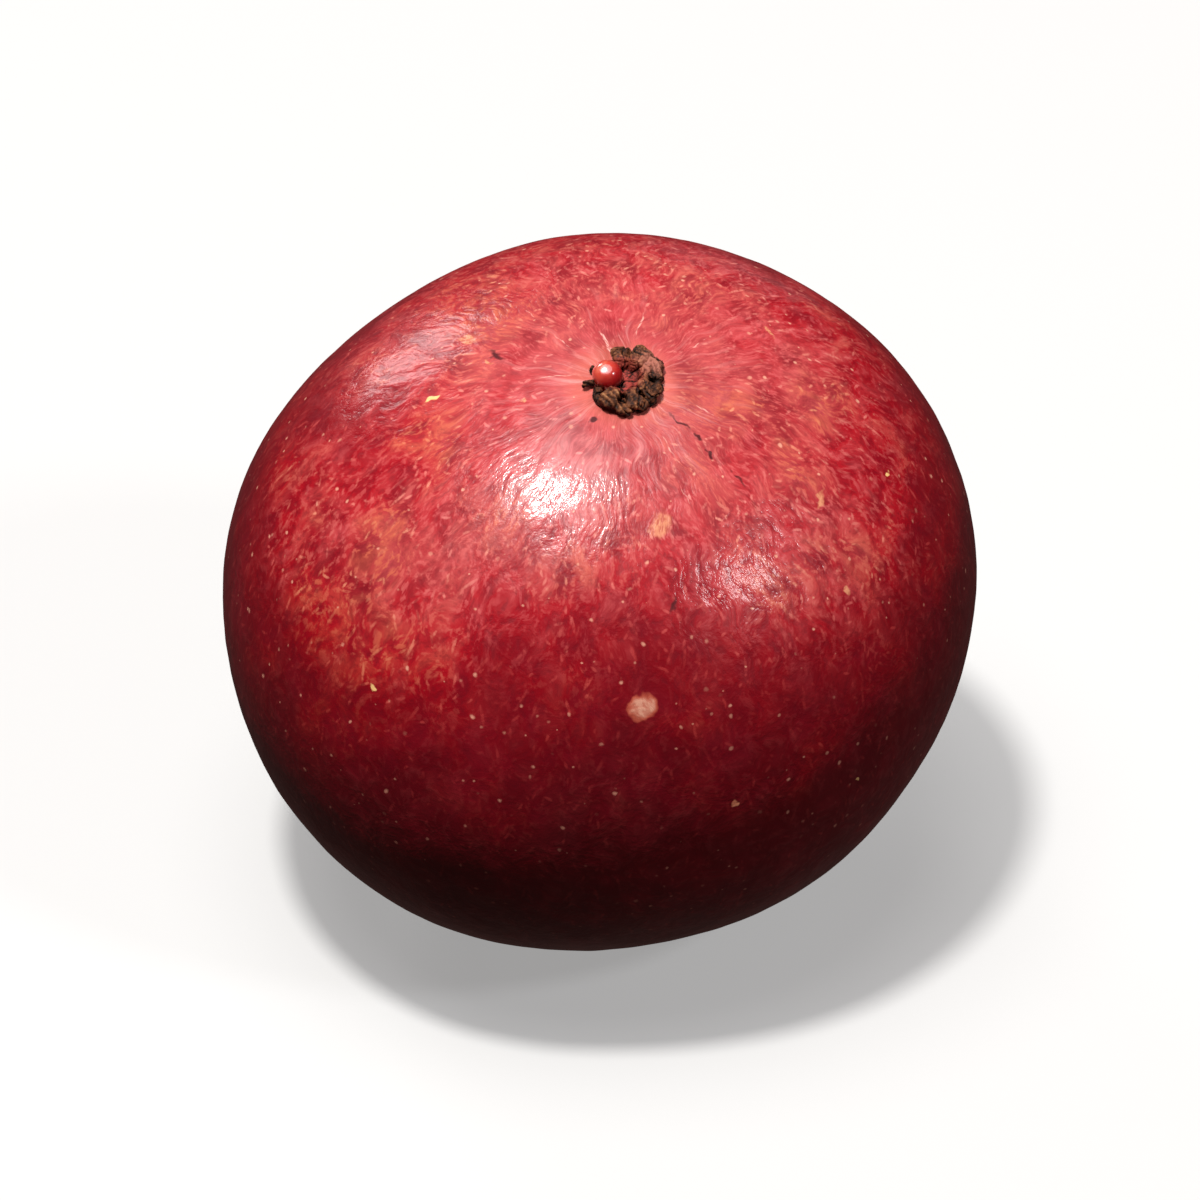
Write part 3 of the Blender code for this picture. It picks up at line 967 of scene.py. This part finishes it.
def add_marks(s, skin, colour):
    """The marks that the photograph shows, each kind in its own colour, with a painted highlight
    among the pale lines.
    """
    # The pale lines include a painted highlight on the crease beside the crown.
    pale_lines_and_glint = marks_mask(s, skin.bent, PALE_LINES_AND_GLINT)
    colour = s.lay(colour, PALE_LINE, pale_lines_and_glint, skin.broken)
    tan = s.mix(s.range(skin.felt, 0.35, 0.62), DARK_TAN, LIGHT_TAN)
    for marks, shown in ((TAN_MARKS, tan), (GOLD_MARKS, GOLD), (DARK_MARKS, DARK_MARK)):
        colour = s.lay(colour, shown, marks_mask(s, skin.frayed, marks))
    return colour


def add_lenticel(s, skin, colour):
    """The pale round spot, flecked like the felt."""
    offset = s.vector("SUBTRACT", skin.frayed, photo_place(*LENTICEL_PIXEL))
    far = s.vector("LENGTH", offset)
    spot = s.falling(far, LENTICEL_RADIUS * 0.78, LENTICEL_RADIUS)
    core = s.falling(far, LENTICEL_RADIUS * 0.45, LENTICEL_RADIUS * 0.85)
    colour = s.lay(colour, LENTICEL_RIM, spot, 0.8)
    return s.lay(colour, LENTICEL_CORE, core, s.range(skin.felt, 0.36, 0.56, 0.35, 0.9))


def add_scar(s, skin, colour):
    """The stalk scar: an orange flush round it, a torn corky rim and a dark pit, its near black
    partly the scar's own colour and partly painted shade.
    """
    below = s.falling(skin.upward, -0.7, -0.5)
    torn = s.shaken(skin.from_axis, skin.rays, 1.3)
    streaked = s.range(skin.rays, 0.32, 0.6, 0.15, 1.0)
    colour = s.lay(colour, SCAR_FLUSH, s.falling(torn, 1.3, 5.0), streaked, below, 0.75)
    flakes = s.ramp(skin.felt, CORK_STOPS)
    flakes = s.lay(flakes, CORK_CRACK, s.falling(skin.rays, 0.36, 0.44), 0.8)
    cork = s.times(s.falling(torn, 1.35, 1.75), below)
    colour = s.mix(cork, colour, flakes)
    # Near black in the pit, partly painted shade.
    pit = s.ramp(skin.felt, PIT_AND_SHADE_STOPS)
    return s.lay(colour, pit, s.falling(torn, 0.7, 0.95), below), cork


def skin_looks(s):
    """Ripe skin with a waxy gloss, dull on the cork."""
    skin = SkinFields(s)
    colour = broad_colour_and_shade(s, skin)
    for add in (add_fibres, add_strokes, add_rays, add_dots, add_marks, add_lenticel):
        colour = add(s, skin, colour)
    colour, cork = add_scar(s, skin, colour)
    streaks = s.times(skin.streaks, s.range(skin.from_axis, 1.5, 6.0, 0.25, 1.1))
    felt_share = s.range(skin.from_axis, 1.5, 6.0, 0.2, 0.66)
    normal = s.bump(s.math("MULTIPLY_ADD", skin.felt, felt_share, streaks), SKIN_BUMP)
    waxy = s.range(skin.felt, 0.3, 0.7, 0.44, 0.36)
    return {
        "Base Color": colour,
        "Normal": normal,
        "Coat Normal": normal,
        "Roughness": s.math("MULTIPLY_ADD", cork, 0.45, waxy),
        "Coat Weight": s.math("MULTIPLY_ADD", cork, -0.42, 0.42),
        "Coat Roughness": 0.15,
        "Specular IOR Level": 0.25,
    }


def crown_looks(s):
    """Crusty dried styles: near black with painted shade in the creases, rusty brown and tan on the
    ridges and upper parts, partly with painted light.
    """
    place = s.field("own_place", "Vector")
    grain = s.noise(place, 7.0, 4.0, 0.65)
    # The crust's level carries painted light on its raised and upper parts and painted shade in its
    # creases.
    level = s.shaken(s.field("ridge"), grain, 0.8)
    colour = s.ramp(level, CRUST_STOPS)
    near_axis = s.falling(s.off_axis(place), 0.3, 0.85)
    colour = s.lay(colour, RED_CRUST, near_axis, s.range(level, 0.1, 0.6), 0.85)
    colour = s.lay(colour, ROSY_CRUST, s.field("rosy"), s.range(level, 0.3, 0.85), 0.8)
    return {
        "Base Color": colour,
        "Roughness": s.range(grain, 0.3, 0.7, 0.45, 0.75),
        "Normal": s.bump(s.noise(place, 11.0, 4.0, 0.7), 0.04 * MM),
        "Specular IOR Level": 0.22,
    }


def bead_looks(s):
    """A clear glossy drop of red, paler and more orange towards its upper left with painted light,
    and darker on its far side with painted shade.
    """
    place = s.field("own_place", "Vector")
    # Painted light and shade across the bead, made uneven by a noise.
    pale = s.vector("DOT_PRODUCT", place, BEAD_LIGHT_WAY)
    pale = s.shaken(pale, s.noise(place, 2.5), 0.5)
    return {
        "Base Color": s.ramp(s.range(pale, -0.6, 0.75, smooth=False), BEAD_LIT_AND_SHADED_STOPS),
        "Roughness": 0.18,
        "Coat Weight": 1.0,
        "Coat Roughness": 0.2,
        "Subsurface Weight": 0.25,
        "Subsurface Radius": (1.0, 0.2, 0.1),
        "Subsurface Scale": 0.25 * MM,
    }


def style_rings(angle, size):
    """Rings of points round one style, from its root in the socket out to its notched tip."""
    outward_way = Vector((math.cos(angle), math.sin(angle), 0.0))
    side = Vector((-math.sin(angle), math.cos(angle), 0.0))
    rings = []
    for station in range(STYLE_STATIONS):
        share = station / (STYLE_STATIONS - 1)
        out = (STYLE_ROOT_OUT + (STYLE_REACH - STYLE_ROOT_OUT) * share) * size
        if share < STYLE_ARCH_SHARE:
            climb = math.sin(share / STYLE_ARCH_SHARE * math.pi / 2)
            height = STYLE_ROOT_HEIGHT + (STYLE_ARCH_HEIGHT - STYLE_ROOT_HEIGHT) * climb
        else:
            fallen = (share - STYLE_ARCH_SHARE) / (1 - STYLE_ARCH_SHARE)
            height = STYLE_ARCH_HEIGHT + (STYLE_TIP_HEIGHT - STYLE_ARCH_HEIGHT) * fallen**2
        beyond = max(0.0, (share - BLUNT_FROM) / BLUNT_LENGTH)
        blunt = math.sqrt(max(0.0, 1.0 - beyond**2 * BLUNT_SHARE))
        half_width = STYLE_ROOT_RADIUS + (STYLE_TIP_HALF_WIDTH - STYLE_ROOT_RADIUS) * share
        half_thick = STYLE_ROOT_RADIUS + (STYLE_TIP_HALF_THICK - STYLE_ROOT_RADIUS) * share
        centre = outward_way * out + Vector((0.0, 0.0, height * size))
        ring = []
        for i in range(STYLE_SIDES):
            around = 2.0 * math.pi * i / STYLE_SIDES
            notch = 1.0 - STYLE_NOTCH * share**2 * math.sin(around) ** 6
            across = side * (half_width * size * blunt * math.cos(around))
            up = Vector((0.0, 0.0, half_thick * size * blunt * math.sin(around) * notch))
            ring.append(centre + across + up)
        rings.append(ring)
    return rings


def add_loft(bm, rings):
    """A closed skin over rings of points, in millimetres."""
    made = [[bm.verts.new(point / MM) for point in ring] for ring in rings]
    sides = len(made[0])
    for lower, upper in zip(made, made[1:]):
        for i in range(sides):
            j = (i + 1) % sides
            bm.faces.new((lower[i], lower[j], upper[j], upper[i]))
    bm.faces.new(list(reversed(made[0])))
    bm.faces.new(made[-1])


def add_lump(bm, place, sizes, turn, seed):
    """An uneven crumb, in millimetres."""
    made = bmesh.ops.create_icosphere(bm, subdivisions=3, radius=1.0)["verts"]
    turned = Matrix.Rotation(math.radians(turn), 3, "Z")
    for vertex in made:
        shape = noise.noise(vertex.co * LUMP_UNEVEN_SCALE + Vector((seed, 0.0, 0.0)))
        uneven = 1.0 + LUMP_UNEVEN * shape
        local = Vector(v * size for v, size in zip(vertex.co, sizes)) * uneven
        vertex.co = turned @ local + Vector(place)


def styles():
    """The angle and size of each style, in the part's own order."""
    draw = random.Random(STYLE_SEED)
    listed = []
    for index in range(STYLE_PLACES - 1):
        jitter = draw.uniform(-STYLE_ANGLE_JITTER, STYLE_ANGLE_JITTER)
        size = 1.0 + draw.uniform(-STYLE_SIZE_JITTER, STYLE_SIZE_JITTER)
        if index == LARGEST_STYLE:
            size = LARGEST_STYLE_SIZE
        listed.append((STYLE_FIRST_ANGLE + index * STYLE_STEP + jitter, size))
    return listed


def remeshed(mesh, voxel):
    """The mesh made again as one even skin, which fuses whatever overlaps in it."""
    holder = in_scene("holder", mesh)
    remesh = holder.modifiers.new("remesh", "REMESH")
    remesh.mode = "VOXEL"
    remesh.voxel_size = voxel
    bpy.context.view_layer.update()
    seen = holder.evaluated_get(bpy.context.evaluated_depsgraph_get())
    made = bpy.data.meshes.new_from_object(seen)
    bpy.data.objects.remove(holder)
    return made


def drop_scraps(mesh):
    """Take out the specks that the remesh leaves apart from the larger bodies."""
    bm = bmesh.new()
    bm.from_mesh(mesh)
    unseen = set(bm.verts)
    scraps = []
    while unseen:
        body = [unseen.pop()]
        for vertex in body:
            beside = {edge.other_vert(vertex) for edge in vertex.link_edges} & unseen
            unseen -= beside
            body.extend(beside)
        if len(body) < SMALLEST_BODY:
            scraps.extend(body)
    bmesh.ops.delete(bm, geom=scraps, context="VERTS")
    bm.to_mesh(mesh)
    bm.free()


def crease_at(place, half_width):
    """From 1 on the lines where a noise is 0 to 0 a little beside them."""
    return math.exp(-((abs(noise.noise(place)) / half_width) ** 2))


def within(flat, middle, radius):
    """From 1 about a middle to 0 outside the radius."""
    return math.exp(-(((flat - middle).length / radius) ** 4))


def roughen_crown(mesh, top):
    """Wrinkle the crown's skin into crust, and note how pale and how rosy each point is: painted
    shade darkens the creases and painted light brightens the raised and upper parts.
    """
    mesh.update()
    ridge = []
    rosy = []
    pushed = []
    for vertex in mesh.vertices:
        place = vertex.co
        flat = Vector((place.x, place.y, 0.0))
        lumps = noise.noise(place * 2.6 + Vector((4.0, 1.0, 0.0)))
        crease = crease_at(place * 2.4 + Vector((0.0, 8.0, 2.0)), 0.06)
        fine_crease = crease_at(place * 6.5, 0.1)
        grit = noise.noise(place * 17.0)
        on_lobe = within(flat, LOBE_PLACE, LOBE_RADIUS)
        on_strands = within(flat, STRANDS_PLACE, STRANDS_RADIUS)
        round_lobe = (flat - LOBE_RIDGES_ROUND).length + RIB_WANDER * lumps
        over_strands = (flat - STRANDS_PLACE).dot(STRANDS_ACROSS) + RIB_WANDER * lumps
        ribs = on_lobe * math.cos(2.0 * math.pi * round_lobe / RIDGE_SPACING)
        ribs += on_strands * math.cos(2.0 * math.pi * over_strands / STRAND_SPACING)
        plain = 1.0 - (1.0 - CREASES_ON_RIBS) * max(on_lobe, on_strands)
        push = LUMP_PUSH * lumps - plain * (CREASE_PUSH * crease + FINE_PUSH * fine_crease)
        push = push + GRIT_PUSH * grit + RIB_PUSH * ribs
        pushed.append(place + vertex.normal * push)
        # Paler higher up, as painted light from above, and darker in the creases, as painted shade.
        lift = min(1.0, max(0.0, (place.z - top - LIFT_FROM) / LIFT_HEIGHT))
        level = CRUST_PALE + LIFT_LIGHT * lift + LUMP_PALE * lumps
        level -= plain * (CREASE_SHADE * crease + FINE_CREASE_SHADE * fine_crease)
        level = level + GRIT_PALE * grit + RIB_PALE * ribs + LOBE_LIFT_LIGHT * on_lobe * lift
        ridge.append(level)
        rosy.append(on_lobe)
    for vertex, place in zip(mesh.vertices, pushed):
        vertex.co = place
    keep_field(mesh, "ridge", np.array(ridge))
    keep_field(mesh, "rosy", np.array(rosy))


def make_crown(placing):
    top = pole_top() / MM
    bm = bmesh.new()
    for angle, size in styles():
        rings = style_rings(angle, size)
        add_loft(bm, [[point + Vector((0, 0, top * MM)) for point in ring] for ring in rings])
    add_lump(bm, Vector(CUSHION_PLACE) + Vector((0.0, 0.0, top)), CUSHION_SIZES, 0.0, CUSHION_SEED)
    for (x, y, z), sizes, turn in CRUMBS:
        add_lump(bm, (x, y, top + z), sizes, turn, 7.0 * x + y)
    mesh = remeshed(mesh_from(bm, "dried_crown"), CROWN_VOXEL)
    mesh.name = "dried_crown"
    drop_scraps(mesh)
    roughen_crown(mesh, top)
    keep_own_place(mesh, 1.0)
    mesh.transform(placing @ Matrix.Scale(MM, 4))
    mesh.shade_smooth()
    crown = new_object("dried_crown", mesh, "dried_style", crown_looks)
    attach(crown, "root")
    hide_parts("style_crown")


def make_bead(placing):
    bm = bmesh.new()
    bmesh.ops.create_uvsphere(bm, u_segments=BEAD_SEGMENTS, v_segments=BEAD_RINGS, radius=1.0)
    mesh = mesh_from(bm, "glossy_bead")
    facing = fruit_lean().inverted() @ (in_view(*KEY_LIGHT_WAY) + camera_axes()[2]).normalized()
    for vertex in mesh.vertices:
        uneven = 1.0 + BEAD_UNEVEN * noise.noise(vertex.co * BEAD_UNEVEN_SCALE)
        beyond = max(0.0, vertex.co.dot(facing) - BEAD_FACET_FROM)
        vertex.co -= facing * (BEAD_FACET_SHARE * beyond)
        vertex.co = Vector((vertex.co.x, vertex.co.y, vertex.co.z * BEAD_FLATTENING))
        vertex.co *= BEAD_RADIUS * uneven
    keep_own_place(mesh)
    centre = Vector((math.cos(BEAD_ANGLE), math.sin(BEAD_ANGLE), 0.0)) * BEAD_OFFSET
    centre.z = pole_top() + COLUMN_TOP + BEAD_RADIUS * BEAD_FLATTENING
    mesh.transform(placing @ Matrix.Translation(centre))
    mesh.shade_smooth()
    bead = new_object("glossy_bead", mesh, "red_bead", bead_looks)
    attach(bead, "root")
    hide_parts("style_bead")


def pole_top():
    """Height of the skin at the crown's middle, in the fruit's own frame."""
    skin, _ = plain_skin(np.array([0.0]), np.array([0.0]))
    return float(skin[0, 2])


def floor_looks(_):
    """Pale paper, with a little light of its own to keep the shadow on it soft and grey."""
    return {
        "Base Color": FLOOR_COLOUR,
        "Roughness": 0.9,
        "Specular IOR Level": 0.0,
        "Emission Color": FLOOR_GLOW,
        "Emission Strength": 0.34,
    }


def make_stage():
    """A pale floor that curves up into a wall all round."""
    profile = []
    for i in range(FLOOR_STEPS + 1):
        angle = 0.5 * math.pi * i / FLOOR_STEPS
        radius = FLOOR_RADIUS + FLOOR_BEND * math.sin(angle)
        profile.append((radius, FLOOR_BEND * (1.0 - math.cos(angle))))
    profile.append((FLOOR_RADIUS + FLOOR_BEND, FLOOR_WALL_TOP))
    bm = bmesh.new()
    rings = []
    for radius, height in profile:
        ring = []
        for i in range(FLOOR_SEGMENTS):
            angle = 2.0 * math.pi * i / FLOOR_SEGMENTS
            ring.append(bm.verts.new((radius * math.cos(angle), radius * math.sin(angle), height)))
        rings.append(ring)
    bm.faces.new(rings[0])
    for inner, outer in zip(rings, rings[1:]):
        for i in range(FLOOR_SEGMENTS):
            j = (i + 1) % FLOOR_SEGMENTS
            bm.faces.new((inner[i], outer[i], outer[j], inner[j]))
    mesh = mesh_from(bm, "studio_floor")
    mesh.shade_smooth()
    floor = new_object("studio_floor", mesh, "pale_floor", floor_looks)
    floor.visible_diffuse = False
    floor.visible_glossy = False


def in_view(right, up, back):
    """A direction given as the photograph's camera sees it."""
    axes = camera_axes()
    return (axes[0] * right + axes[1] * up + axes[2] * back).normalized()


def add_softbox(name, direction, distance, spread, strength, colour):
    """A round light as wide as spread from the fruit, which lights a facing surface by strength."""
    light = bpy.data.lights.new(name, "AREA")
    light.shape = "DISK"
    light.size = 2.0 * distance * math.tan(spread / 2.0)
    light.energy = strength * (math.pi * distance) ** 2
    light.color = colour
    lamp = in_scene(name, light)
    lamp.location = Vector((0.0, 0.0, FRUIT_HEIGHT / 2)) + direction * distance
    lamp.rotation_euler = direction.to_track_quat("Z", "Y").to_euler()
    lamp.visible_camera = False


def make_lights():
    """A small bright light in a wide soft one, weaker ones beside and behind, and a dim world."""
    for name, (way, distance, degrees, strength, colour) in LIGHTS.items():
        add_softbox(name, in_view(*way), distance, math.radians(degrees), strength, colour)
    world = bpy.data.worlds.new("studio")
    world.use_nodes = True
    background = world.node_tree.nodes["Background"]
    background.inputs["Color"].default_value = WORLD_COLOUR
    background.inputs["Strength"].default_value = WORLD_STRENGTH
    bpy.context.scene.world = world
    bpy.context.scene.view_settings.view_transform = "Standard"


def make_camera():
    camera = bpy.data.cameras.new("camera")
    camera.sensor_width = SENSOR_WIDTH
    camera.lens = CAMERA_LENS
    camera.clip_start = CAMERA_NEAR
    camera.clip_end = CAMERA_FAR
    holder = in_scene("camera", camera)
    back = camera_axes()[2]
    target = Vector((0.0, 0.0, FRUIT_HEIGHT / 2 - AIM_BELOW_MIDDLE))
    holder.location = target + back * CAMERA_DISTANCE
    holder.rotation_euler = back.to_track_quat("Z", "Y").to_euler()
    bpy.context.scene.camera = holder


make_camera()
make_lights()
make_stage()
fruit_placing = make_fruit()
make_crown(fruit_placing)
make_bead(fruit_placing)
